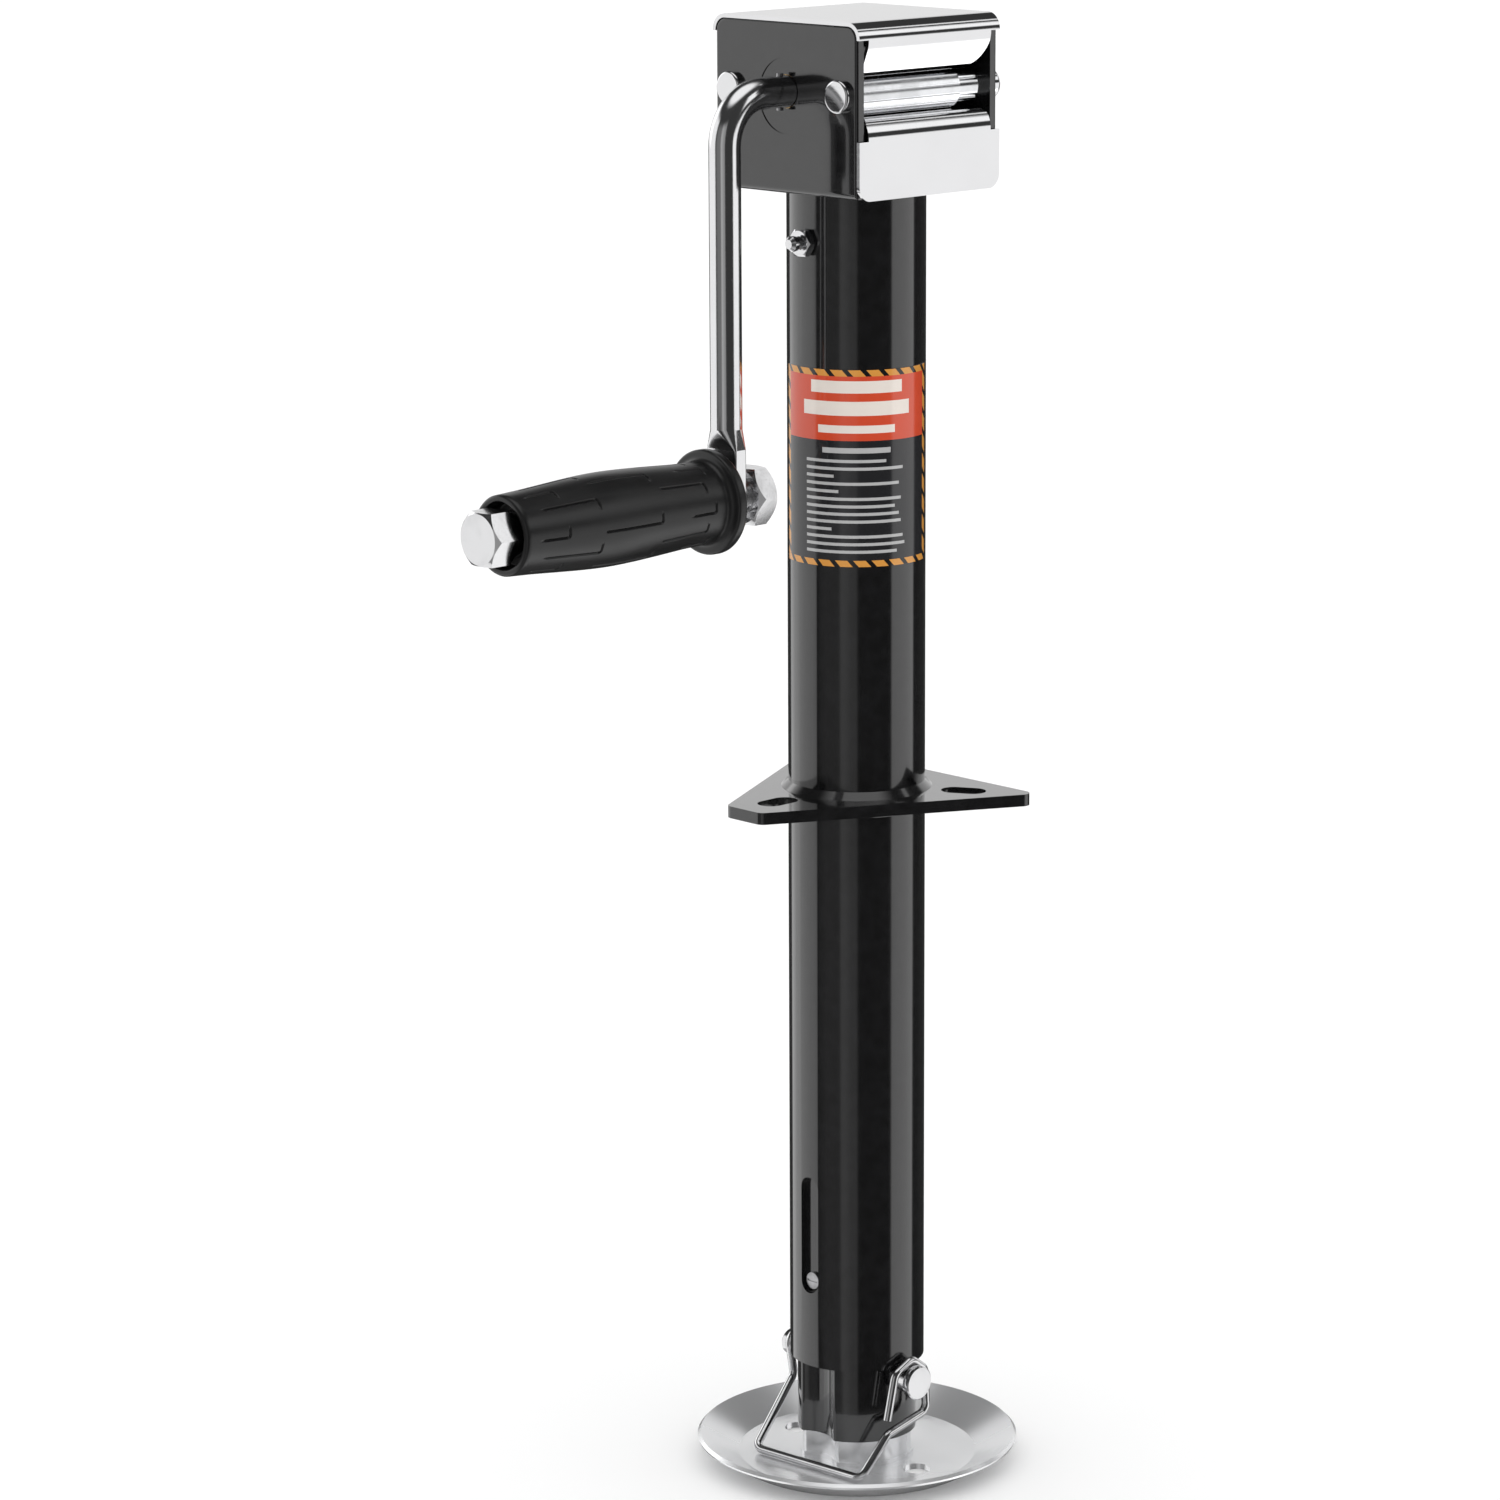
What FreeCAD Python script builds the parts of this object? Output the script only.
import FreeCAD, Part
import Sketcher
import math
import os

# Side-wind trailer tongue jack, fully retracted.
# Frame: +Z up, origin on the tube axis at the bottom of the foot plate.
# The window of the gear housing faces -Y and the crank is on the -X side.

os.makedirs("parts", exist_ok=True)
doc = FreeCAD.newDocument("TongueJack")
Vector = FreeCAD.Vector
Rotation = FreeCAD.Rotation

# ---------------------------------------------------------------- sizes, mm
SIZES = {
    # outer tube
    "tube_radius": 28.575,
    "tube_wall": 2.9,
    "tube_bottom": 46.7,
    "tube_top": 545.6,
    # pressed-in key slot that keeps the ram from turning
    "key_bottom": 77.5,
    "key_length": 54,
    "key_width": 13,
    "key_press": 3.075,
    "key_sunk": 3.175,
    "guide_screw_radius": 3,
    # ram, its flute and the foot stub inside it
    "slide_gap": 0.275,
    "ram_wall": 2,
    "ram_bottom": 14,
    "ram_headroom": 42.6,
    "flute_depth": 5.4,
    "flute_radius": 13.55,
    "flute_corner": 2,
    "stub_gap": 0.25,
    "stub_wall": 2.5,
    "stub_top": 60,
    # foot dish
    "foot_floor_radius": 50,
    "foot_flare": 18.5,
    "foot_height": 11,
    "foot_sheet": 2.5,
    "drain_count": 2,
    "drain_radius": 6,
    "drain_circle": 36,
    # mounting flange
    "flange_top": 295.5,
    "flange_sheet": 5,
    "flange_tip_reach": 36.925,
    "flange_tip_half": 10,
    "flange_base_reach": 11.925,
    "flange_base_half": 65.8,
    "flange_corner": 4,
    "slot_reach": 17.425,
    "slot_width": 11.1,
    "slot_length": 19,
    "weld_leg": 3,
    # gear housing
    "wall_reach_x": 11.625,
    "wall_reach_y": 11.825,
    "wall_sheet": 4,
    "wall_bend": 2.5,
    "wall_edge": 1.4,
    "head_height": 70.2,
    "cover_sheet": 1.6,
    "cover_bend": 6.8,
    "lip_length": 0.2,
    "recess_height": 39.2,
    "recess_radius": 15.3,
    "recess_depth": 0.4,
    "bush_skin": 1.4,
    "rod_clearance": 0.3,
    # curled tabs of the covers
    "tab_inset": 5.2,
    "tongue_start": 9.4,
    "tongue_lean": 3.4,
    "tongue_drop": 20.6,
    "tongue_corner": 10.5,
    "tongue_bend": 10,
    "plate_height": 23.2,
    "ledge_lean_rise": 3.35,
    "ledge_turn_inset": 1.72,
    "ledge_turn_rise": 7.7,
    "ledge_reach": 5.8,
    "ledge_rise": 9.2,
    "ledge_corner": 4,
    "plate_corner": 6,
    "ledge_bend": 10,
    "curl_bend": 4.3,
    # cross rivets and their ribbed spacer sleeves
    "rivet_inset": 9.4,
    "rivet_drop": 29.5,
    "rivet_radius": 4.5,
    "rivet_head_radius": 6.7,
    "left_head_height": 2.7,
    "left_head_edge": 1.1,
    "right_head_height": 6,
    "right_head_edge": 2,
    "sleeve_radius": 8.4,
    "sleeve_short": 20.2,
    "sleeve_hub_radius": 7.2,
    "sleeve_hub_short": 8.7,
    "sleeve_neck_radius": 6,
    "sleeve_ribs": 14,
    "rib_groove": 0.6,
    "hub_lobes": 6,
    "lobe_groove": 1.3,
    # crank
    "crank_height": 41,
    "rod_radius": 6.5,
    "crank_bend": 20,
    "arm_reach": 33.7,
    "arm_length": 161.1,
    "paddle_sheet": 6.5,
    "paddle_width": 17,
    "paddle_rise": 20.5,
    "neck_length": 8,
    "retaining_pin_gap": 3,
    "small_pin_radius": 1.4,
    "pin_stand": 0.9,
    # grip and its bolt
    "grip_length": 112.7,
    "grip_offset": 8.4,
    "grip_rim_radius": 15.4,
    "grip_belly_radius": 18.8,
    "grip_neck_radius": 16.8,
    "grip_flange_radius": 21.3,
    "grip_flange_length": 4.8,
    "grip_cup_radius": 13.4,
    "grip_cup_depth": 9,
    "sleeve_outer": 10,
    "bolt_radius": 6.5,
    "bolt_head_stand": 11.5,
    "bolt_head_length": 12.5,
    "bolt_collar_radius": 9.4,
    "head_flats": 21,
    "nut_flats": 23,
    "nut_offset": 7.3,
    "nut_length": 10.2,
    "bolt_reach": 18.9,
    # bevel gears
    "pinion_teeth": 12,
    "gear_teeth": 20,
    "tooth_module": 2.25,
    "face_width": 8,
    "pinion_gap": 0.3,
    "pinion_hub_radius": 11,
    "gear_hub_radius": 12,
    "cross_pin_radius": 2,
    # bushings and washers
    "bush_wall": 2.5,
    "bush_flange": 2,
    "bush_flange_radius": 11.5,
    "washer_sheet": 2,
    "fit_gap": 0.05,
    "face_gap": 0.2,
    # lead screw, nut and thrust bearing
    "journal_radius": 7,
    "screw_drop": 12.6,
    "screw_radius": 9.5,
    "screw_bottom": 76,
    "collar_radius": 15,
    "collar_sheet": 6,
    "race_sheet": 3,
    "race_gap": 4.675,
    "ball_diameter": 6,
    "ball_count": 12,
    "ball_circle": 15.5,
    "nut_top_inset": 3,
    "nut_height": 30,
    "end_washer_sheet": 7,
    "end_washer_radius": 14,
    # lock pin and bail
    "pin_radius": 5.5,
    "pin_head_radius": 7.3,
    "pin_head_stand": 9.025,
    "pin_head_sheet": 3,
    "pin_tip_stand": 13.4,
    "wire_radius": 1.8,
    "coil_inset": 5.1,
    # fittings on the tube
    "fitting_drop": 20.6,
    "fitting_hex": 10.6,
    "fitting_hex_length": 4,
    "decal_height": 81,
    "decal_drop": 71.6,
    "decal_sheet": 0.25,
    "decal_half_angle": 74,
    "decal_facing": 225,
}

# Places and sizes that follow from the ones above.
WORKED_OUT = {
    "key_reach": "tube_radius - tube_wall - key_press",
    "key_floor": "tube_radius - key_sunk",
    "ram_length": "tube_top - ram_headroom - ram_bottom",
    "foot_rim_radius": "foot_floor_radius + foot_flare",
    "flange_tip": "tube_radius + flange_tip_reach",
    "flange_base": "tube_radius + flange_base_reach",
    "slot_circle": "tube_radius + slot_reach",
    "wall_half_x": "tube_radius + wall_reach_x",
    "wall_half_y": "tube_radius + wall_reach_y",
    "head_top": "tube_top + head_height",
    "tab_half": "wall_half_x - tab_inset",
    "tongue_straight": "head_top - tongue_start",
    "tongue_end_y": "wall_half_y - tongue_lean",
    "tongue_end_z": "head_top - tongue_drop",
    "plate_top": "tube_top + plate_height",
    "ledge_lean_z": "plate_top + ledge_lean_rise",
    "ledge_turn_y": "wall_half_y - ledge_turn_inset",
    "ledge_turn_z": "plate_top + ledge_turn_rise",
    "ledge_end_y": "wall_half_y - ledge_reach",
    "ledge_end_z": "plate_top + ledge_rise",
    "rivet_y": "wall_half_y - rivet_inset",
    "rivet_z": "head_top - rivet_drop",
    "sleeve_end": "wall_half_x - sleeve_short",
    "sleeve_hub_end": "wall_half_x - sleeve_hub_short",
    "crank_z": "tube_top + crank_height",
    "recess_z": "tube_top + recess_height",
    "arm_x": "wall_half_x + arm_reach",
    "grip_z": "crank_z - arm_length",
    "paddle_top": "grip_z + paddle_rise",
    "rod_end": "wall_half_x - bush_skin - face_gap",
    "retaining_pin_x": "wall_half_x + retaining_pin_gap",
    "grip_inner_end": "arm_x + grip_offset",
    "grip_outer_end": "grip_inner_end + grip_length",
    "bolt_head_end": "grip_outer_end + bolt_head_stand",
    "nut_x": "arm_x - nut_offset",
    "bolt_tip": "arm_x - bolt_reach",
    "pinion_hub_end": "wall_half_x - wall_sheet - bush_flange - pinion_gap",
    "race_radius": "tube_radius - tube_wall - race_gap",
    "screw_top": "crank_z - screw_drop",
    "pin_z": "tube_bottom - pin_radius - face_gap",
    "pin_head_front": "tube_radius + pin_head_stand",
    "pin_tip": "tube_radius + pin_tip_stand",
    "coil_y": "pin_head_front - coil_inset",
    "fitting_z": "tube_top - fitting_drop",
    "decal_top": "tube_top - decal_drop",
    "decal_bottom": "decal_top - decal_height",
}

sheet = doc.addObject("Spreadsheet::Sheet", "Sizes")
for row, (alias, value) in enumerate(SIZES.items(), start=1):
    sheet.set(f"A{row}", alias)
    sheet.set(f"B{row}", str(value))
    sheet.setAlias(f"B{row}", alias)
doc.recompute()


def size(name):
    """The number in the cell with this alias, or what is worked out from cells."""
    return worked(name)


def worked(expression):
    """The value of an expression over the sheet's aliases."""
    result = sheet.evalExpression(linked(expression))
    return float(getattr(result, "Value", result))


def linked(expression):
    """The expression with each name written as references to the sheet."""
    text = str(expression)
    out = ""
    word = ""
    for letter in text + " ":
        if letter.isalnum() or letter == "_":
            word += letter
            continue
        if word in WORKED_OUT:
            word = "(" + linked(WORKED_OUT[word]) + ")"
        elif word in SIZES:
            word = "Sizes." + word
        out += word
        out += letter
        word = ""
    return out.strip()


def bind(feature, **bindings):
    """Bind properties to expressions; a double underscore stands for a dot."""
    for name, expression in bindings.items():
        feature.setExpression(name.replace("__", "."), linked(expression))


NODES = []


def node(feature, label):
    """Register a finished sub-part under the name of its file."""
    feature.Label = label
    NODES.append(feature)
    return feature


# ------------------------------------------------- bodies from sketches
def new_body(label):
    return node(doc.addObject("PartDesign::Body", label), label)


def sketch_on(body, role):
    """A sketch on one of the body's own origin planes."""
    plane = next(p for p in body.Origin.OriginFeatures if p.Role == role)
    sketch = body.newObject("Sketcher::SketchObject", body.Name + "_sketch")
    sketch.AttachmentSupport = (plane, [""])
    sketch.MapMode = "FlatFace"
    return sketch


def outline(body, role, corners):
    """A closed outline whose corners are pairs of bound expressions."""
    sketch = sketch_on(body, role)
    values = [(worked(across), worked(up)) for across, up in corners]
    count = len(corners)
    for index in range(count):
        start = Vector(*values[index], 0)
        end = Vector(*values[(index + 1) % count], 0)
        sketch.addGeometry(Part.LineSegment(start, end))
    for index in range(count):
        following = (index + 1) % count
        sketch.addConstraint(Sketcher.Constraint("Coincident", index, 2, following, 1))
    for index in range(count):
        for kind, axis in (("DistanceX", 0), ("DistanceY", 1)):
            rule = Sketcher.Constraint(kind, -1, 1, index, 1, values[index][axis])
            number = sketch.addConstraint(rule)
            sketch.setExpression(f"Constraints[{number}]", linked(corners[index][axis]))
    return sketch


def circles(body, role, rounds):
    """A sketch of circles, each given as centre across, centre up, radius."""
    sketch = sketch_on(body, role)
    for across, up, radius in rounds:
        centre = Vector(worked(across), worked(up), 0)
        edge = sketch.addGeometry(Part.Circle(centre, Vector(0, 0, 1), worked(radius)))
        rules = (
            (Sketcher.Constraint("DistanceX", -1, 1, edge, 3, centre.x), across),
            (Sketcher.Constraint("DistanceY", -1, 1, edge, 3, centre.y), up),
            (Sketcher.Constraint("Radius", edge, worked(radius)), radius),
        )
        for rule, expression in rules:
            number = sketch.addConstraint(rule)
            sketch.setExpression(f"Constraints[{number}]", linked(expression))
    return sketch


def extrude(body, sketch, length, midplane=False, cut=False, backwards=False):
    kind = "PartDesign::Pocket" if cut else "PartDesign::Pad"
    feature = body.newObject(kind, body.Name + ("_pocket" if cut else "_pad"))
    feature.Profile = sketch
    feature.Midplane = midplane
    feature.Reversed = backwards
    bind(feature, Length=length)
    doc.recompute()
    return feature


def revolve(body, sketch, axis="V_Axis", cut=False):
    kind = "PartDesign::Groove" if cut else "PartDesign::Revolution"
    feature = body.newObject(kind, body.Name + "_turned")
    feature.Profile = sketch
    feature.ReferenceAxis = (sketch, [axis])
    feature.Angle = 360
    doc.recompute()
    return feature


def turned(label, corners, axis="V_Axis"):
    """A body turned about Z (V_Axis) or X (H_Axis) from its half outline."""
    body = new_body(label)
    revolve(body, outline(body, "XZ_Plane", corners), axis)
    return body


def round_edges(body, radius, wanted):
    """Fillet the edges for which wanted(edge) is true."""
    base = body.Tip
    names = [f"Edge{n}" for n, edge in enumerate(base.Shape.Edges, 1) if wanted(edge)]
    fillet = body.newObject("PartDesign::Fillet", body.Name + "_fillet")
    fillet.Base = (base, names)
    bind(fillet, Radius=radius)
    doc.recompute()
    return fillet


def place(feature, x="0", y="0", z="0", axis=None, angle=0):
    """Bind the position; a turn is given by its axis and angle."""
    if axis is not None:
        feature.Placement.Rotation = Rotation(Vector(*axis), angle)
    bind(feature, Placement__Base__x=x, Placement__Base__y=y, Placement__Base__z=z)
    doc.recompute()
    return feature


def near(value, expression, slack=0.01):
    return abs(value - worked(expression)) < slack


def runs_along(edge, direction):
    """True for a straight edge parallel to the direction."""
    if not isinstance(edge.Curve, Part.Line):
        return False
    return abs(abs(edge.Curve.Direction.dot(Vector(*direction))) - 1) < 1e-6


# ------------------------------------------------- primitives and booleans
def cylinder(radius, height, x="0", y="0", z="0", axis=None, angle=0):
    rod = doc.addObject("Part::Cylinder", "cylinder")
    bind(rod, Radius=radius, Height=height)
    return place(rod, x, y, z, axis, angle)


def box(length, width, height, x, y, z):
    block = doc.addObject("Part::Box", "block")
    bind(block, Length=length, Width=width, Height=height)
    return place(block, x, y, z)


def fuse(features):
    joined = doc.addObject("Part::MultiFuse", "joined")
    joined.Shapes = features
    joined.Refine = True
    doc.recompute()
    return joined


def cut(base, tools):
    tool = tools[0] if len(tools) == 1 else fuse(tools)
    result = doc.addObject("Part::Cut", "cut")
    result.Base = base
    result.Tool = tool
    result.Refine = True
    doc.recompute()
    return result


def shaped(label, shape, x=0, y=0, z=0):
    """A sub-part whose shape is worked out below from the sheet."""
    feature = doc.addObject("Part::Feature", label)
    feature.Shape = shape
    feature.Placement = FreeCAD.Placement(Vector(x, y, z), Rotation())
    return node(feature, label)


ALONG_X = ((0, 1, 0), 90)
ALONG_Y = ((1, 0, 0), -90)


# ================================================================ outer tube
# A round tube; the key slot is pressed inward on the crank side, so its
# bump runs in the flute of the ram and stops the ram from turning.
TUBE_BORE = "tube_radius - tube_wall"


def obround_bar(width, bottom, top, inner, outer):
    """A bar with round ends that reaches from inner to outer along -X."""
    low = cylinder(f"({width})/2", f"({outer}) - ({inner})", f"-({outer})", "0",
                   f"({bottom}) + ({width})/2", *ALONG_X)
    high = cylinder(f"({width})/2", f"({outer}) - ({inner})", f"-({outer})", "0",
                    f"({top}) - ({width})/2", *ALONG_X)
    middle = box(f"({outer}) - ({inner})", width, f"({top}) - ({bottom}) - ({width})",
                 f"-({outer})", f"-({width})/2", f"({bottom}) + ({width})/2")
    return fuse([low, high, middle])


KEY_TOP = "key_bottom + key_length"
tube_blank = cylinder("tube_radius", "tube_top - tube_bottom", z="tube_bottom")
tube_bore = cylinder(TUBE_BORE, "tube_top - tube_bottom + 2", z="tube_bottom - 1")
key_bump = obround_bar("key_width", "key_bottom", KEY_TOP, "key_reach",
                       "tube_radius - tube_wall/2")
key_recess = obround_bar("key_width - 3", "key_bottom + 1.5", KEY_TOP + " - 1.5",
                         "key_floor", "tube_radius + 2")
screw_hole = cylinder("guide_screw_radius", "8", "-tube_radius - 1", "0",
                      "key_bottom + key_width/2", *ALONG_X)
fitting_hole = cylinder("3", "8", "-tube_radius - 1", "0", "fitting_z", *ALONG_X)
tube_hollow = cut(tube_blank, [tube_bore])
tube_keyed = fuse([tube_hollow, key_bump])
node(cut(tube_keyed, [key_recess, screw_hole, fitting_hole]), "outer_tube")

# The guide screw closes the lower end of the key slot.
screw_body = cylinder("guide_screw_radius", "key_floor + 0.9 - key_reach",
                      "-key_floor - 0.9", "0", "key_bottom + key_width/2", *ALONG_X)
screw_head = cylinder("guide_screw_radius + 0.6", "1.2", "-key_floor - 1.2", "0",
                      "key_bottom + key_width/2", *ALONG_X)
screw_slot = box("0.8", "6", "0.9", "-key_floor - 1.6", "-3",
                 "key_bottom + key_width/2 - 0.45")
node(cut(fuse([screw_body, screw_head]), [screw_slot]), "guide_screw")

# ========================================================== mounting flange
# A triangular plate with radial slots, welded round the tube above and below.
flange = new_body("mounting_flange")
flange_outline = outline(flange, "XY_Plane", [
    ("-flange_tip", "-flange_tip_half"),
    ("flange_base", "-flange_base_half"),
    ("flange_base", "flange_base_half"),
    ("-flange_tip", "flange_tip_half"),
])
extrude(flange, flange_outline, "flange_sheet", backwards=True)
round_edges(flange, "flange_corner", lambda edge: runs_along(edge, (0, 0, 1)))
extrude(flange, circles(flange, "XY_Plane", [("0", "0", "tube_radius")]),
        "flange_sheet", cut=True)
SLOT_STRAIGHT = "(slot_length - slot_width)/2"
slot_core = outline(flange, "XY_Plane", [
    (f"-slot_circle - {SLOT_STRAIGHT}", "-slot_width/2"),
    (f"-slot_circle + {SLOT_STRAIGHT}", "-slot_width/2"),
    (f"-slot_circle + {SLOT_STRAIGHT}", "slot_width/2"),
    (f"-slot_circle - {SLOT_STRAIGHT}", "slot_width/2"),
])
core_cut = extrude(flange, slot_core, "flange_sheet", cut=True)
slot_ends = circles(flange, "XY_Plane", [
    (f"-slot_circle - {SLOT_STRAIGHT}", "0", "slot_width/2"),
    (f"-slot_circle + {SLOT_STRAIGHT}", "0", "slot_width/2"),
])
ends_cut = extrude(flange, slot_ends, "flange_sheet", cut=True)
slots = flange.newObject("PartDesign::PolarPattern", "slots")
slots.Originals = [core_cut, ends_cut]
slots.Axis = (slot_core, ["N_Axis"])
slots.Angle = 360
slots.Occurrences = 3
flange.Tip = slots
doc.recompute()
weld_profile = outline(flange, "XZ_Plane", [
    ("tube_radius", "weld_leg"),
    ("tube_radius + weld_leg", "0"),
    ("tube_radius + weld_leg", "-flange_sheet"),
    ("tube_radius", "-flange_sheet - weld_leg"),
])
revolve(flange, weld_profile)
place(flange, z="flange_top")

# ============================================================== gear housing
# A folded U of black plate: two side walls and the floor on the tube.
COVER_UNDER = "head_top - cover_sheet"
INNER_X = "wall_half_x - wall_sheet"
housing = new_body("gear_housing")
housing_outline = outline(housing, "XZ_Plane", [
    ("-wall_half_x", "0"),
    ("wall_half_x", "0"),
    ("wall_half_x", f"{COVER_UNDER} - tube_top"),
    (INNER_X, f"{COVER_UNDER} - tube_top"),
    (INNER_X, "wall_sheet"),
    (f"-({INNER_X})", "wall_sheet"),
    (f"-({INNER_X})", f"{COVER_UNDER} - tube_top"),
    ("-wall_half_x", f"{COVER_UNDER} - tube_top"),
])
extrude(housing, housing_outline, "2*wall_half_y", midplane=True)


def bottom_bend(edge):
    return runs_along(edge, (0, 1, 0)) and near(edge.CenterOfMass.z, "0")


def top_corner(edge):
    if not runs_along(edge, (1, 0, 0)):
        return False
    return near(edge.CenterOfMass.z, f"{COVER_UNDER} - tube_top")


def front_or_rear_corner(edge):
    if not runs_along(edge, (0, 0, 1)):
        return False
    return near(abs(edge.CenterOfMass.x), "wall_half_x")


round_edges(housing, "wall_bend", bottom_bend)
round_edges(housing, "cover_bend - cover_sheet", top_corner)
round_edges(housing, "wall_edge", front_or_rear_corner)
inside = outline(housing, "XZ_Plane", [
    (f"-({INNER_X})", "wall_sheet"),
    (INNER_X, "wall_sheet"),
    (INNER_X, f"{COVER_UNDER} - tube_top"),
    (f"-({INNER_X})", f"{COVER_UNDER} - tube_top"),
])
extrude(housing, inside, "2*wall_half_y + 2", midplane=True, cut=True)
wall_holes = circles(housing, "YZ_Plane", [
    ("0", "crank_z - tube_top", "rod_radius + rod_clearance"),
    ("rivet_y", "rivet_z - tube_top", "rivet_radius"),
    ("-rivet_y", "rivet_z - tube_top", "rivet_radius"),
])
extrude(housing, wall_holes, "2*wall_half_x + 10", midplane=True, cut=True)
bush_holes = circles(housing, "YZ_Plane", [
    ("0", "crank_z - tube_top", "rod_radius + bush_wall"),
])
extrude(housing, bush_holes, "2*(wall_half_x - bush_skin)", midplane=True, cut=True)
for side, outward in (("", False), ("-", True)):
    recess = circles(housing, "YZ_Plane", [("0", "recess_z - tube_top", "recess_radius")])
    bind(recess, AttachmentOffset__Base__z=f"{side}wall_half_x")
    extrude(housing, recess, "recess_depth", cut=True, backwards=outward)
floor_hole = circles(housing, "XY_Plane", [("0", "0", "journal_radius + bush_wall")])
extrude(housing, floor_hole, "4*wall_sheet", midplane=True, cut=True)
place(housing, z="tube_top")


# ============================================================== chrome covers
# Bent sheet: a path through the sheet's mid-plane with a round bend at each
# corner, thickened to both sides and carried across the head.
FRONT = "(wall_half_y + cover_sheet)"
LIP_BOTTOM = worked("head_top - cover_bend - lip_length")


def bent_sheet(path, bends, thickness, half_width):
    """A sheet bent along the path (points in YZ), as wide as 2*half_width."""
    stations = []
    for index, point in enumerate(path):
        if index in (0, len(path) - 1):
            stations.append((point, None, None, None, 0))
            continue
        before = (point - path[index - 1]).normalize()
        after = (path[index + 1] - point).normalize()
        turn = 1 if before.cross(after).x > 0 else -1
        radius = bends[index - 1]
        half = math.acos(max(-1, min(1, before.dot(after)))) / 2
        reach = radius * math.tan(half)
        stations.append((point - before * reach, point, point + after * reach,
                         before, turn * radius))
    sides = []
    for offset in (-thickness / 2, thickness / 2):
        edges = []
        direction = (path[1] - path[0]).normalize()
        last = path[0] + Vector(0, -direction.z, direction.y) * offset
        side_start = last
        for index in range(1, len(path) - 1):
            begin, corner, finish, before, signed = stations[index]
            after = (path[index + 1] - corner).normalize()
            side_in = Vector(0, -before.z, before.y)
            side_out = Vector(0, -after.z, after.y)
            centre = begin + side_in * signed
            bend_in = begin + side_in * offset
            bend_out = finish + side_out * offset
            away = (corner - centre).normalize()
            bend_radius = abs(signed) - offset * (1 if signed > 0 else -1)
            edges.append(Part.LineSegment(last, bend_in).toShape())
            edges.append(Part.Arc(bend_in, centre + away * bend_radius, bend_out).toShape())
            last = bend_out
        direction = (path[-1] - path[-2]).normalize()
        side_end = path[-1] + Vector(0, -direction.z, direction.y) * offset
        edges.append(Part.LineSegment(last, side_end).toShape())
        sides.append((edges, side_start, side_end))
    caps = [Part.LineSegment(sides[0][1], sides[1][1]).toShape(),
            Part.LineSegment(sides[0][2], sides[1][2]).toShape()]
    edges = Part.__sortEdges__(sides[0][0] + sides[1][0] + caps)
    face = Part.Face(Part.Wire(edges))
    face.translate(Vector(-half_width, 0, 0))
    return face.extrude(Vector(2 * half_width, 0, 0))


def rounded_front(half_width, low, high, rounded_level, left_radius, right_radius):
    """A block across the head with its two corners at one level rounded."""
    depth = 3 * size("wall_half_y")
    block = Part.makeBox(2 * half_width, depth, high - low,
                         Vector(-half_width, -depth / 2, low))
    for side, radius in ((-1, left_radius), (1, right_radius)):
        corner = Vector(side * half_width, 0, rounded_level)
        edges = []
        for edge in block.Edges:
            apart = edge.CenterOfMass - corner
            if runs_along(edge, (0, 1, 0)) and math.hypot(apart.x, apart.z) < 0.01:
                edges.append(edge)
        block = block.makeFillet(radius, edges)
    return block


THICK = size("cover_sheet")
SKIN_Y = worked(FRONT) - THICK / 2
TAB_HALF = size("tab_half")
HALF_X = size("wall_half_x")
OVERLAP = 0.5


def mirrored_rear(shape):
    return shape.mirror(Vector(0, 0, 0), Vector(0, 1, 0))


# The top cover: lips the full width of the head and a narrower tongue that
# curls in over the ribbed sleeve, the same at the front and at the rear.
roof_z = size("head_top") - THICK / 2
roof = bent_sheet(
    [Vector(0, -SKIN_Y, LIP_BOTTOM), Vector(0, -SKIN_Y, roof_z),
     Vector(0, SKIN_Y, roof_z), Vector(0, SKIN_Y, LIP_BOTTOM)],
    [size("cover_bend") - THICK / 2] * 2, THICK, HALF_X)
tongue_low = size("tongue_end_z")
tongue = bent_sheet(
    [Vector(0, -SKIN_Y, LIP_BOTTOM + OVERLAP),
     Vector(0, -SKIN_Y, size("tongue_straight")),
     Vector(0, -size("tongue_end_y"), tongue_low + THICK / 2)],
    [size("tongue_bend")], THICK, TAB_HALF)
tongue = tongue.common(rounded_front(TAB_HALF, tongue_low, size("head_top"), tongue_low,
                                     THICK, size("tongue_corner")))
cover_shape = roof.fuse([tongue, mirrored_rear(tongue)]).removeSplitter()
shaped("top_cover", cover_shape)

# The lower cover: a plate with round bottom corners on the front edges of the
# walls, whose narrower top edge curls in under the sleeve.
plate_low = size("tube_top") - OVERLAP
plate_high = size("plate_top")
plate = bent_sheet([Vector(0, -SKIN_Y, plate_low), Vector(0, -SKIN_Y, plate_high)],
                   [], THICK, HALF_X)
plate = plate.common(rounded_front(HALF_X, plate_low, plate_high, plate_low,
                                   size("plate_corner"), size("plate_corner")))
ledge_high = size("ledge_end_z")
ledge = bent_sheet(
    [Vector(0, -SKIN_Y, plate_high - OVERLAP),
     Vector(0, -SKIN_Y, size("ledge_lean_z")),
     Vector(0, -size("ledge_turn_y"), size("ledge_turn_z")),
     Vector(0, -size("ledge_end_y"), ledge_high - THICK / 2)],
    [size("ledge_bend"), size("curl_bend")], THICK, TAB_HALF)
ledge = ledge.common(rounded_front(TAB_HALF, plate_high - 2 * OVERLAP, ledge_high,
                                   ledge_high, size("ledge_corner"), size("ledge_corner")))
lower_shape = plate.fuse(ledge).removeSplitter()
shaped("front_lower_cover", lower_shape)
shaped("rear_lower_cover", mirrored_rear(lower_shape))

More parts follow.
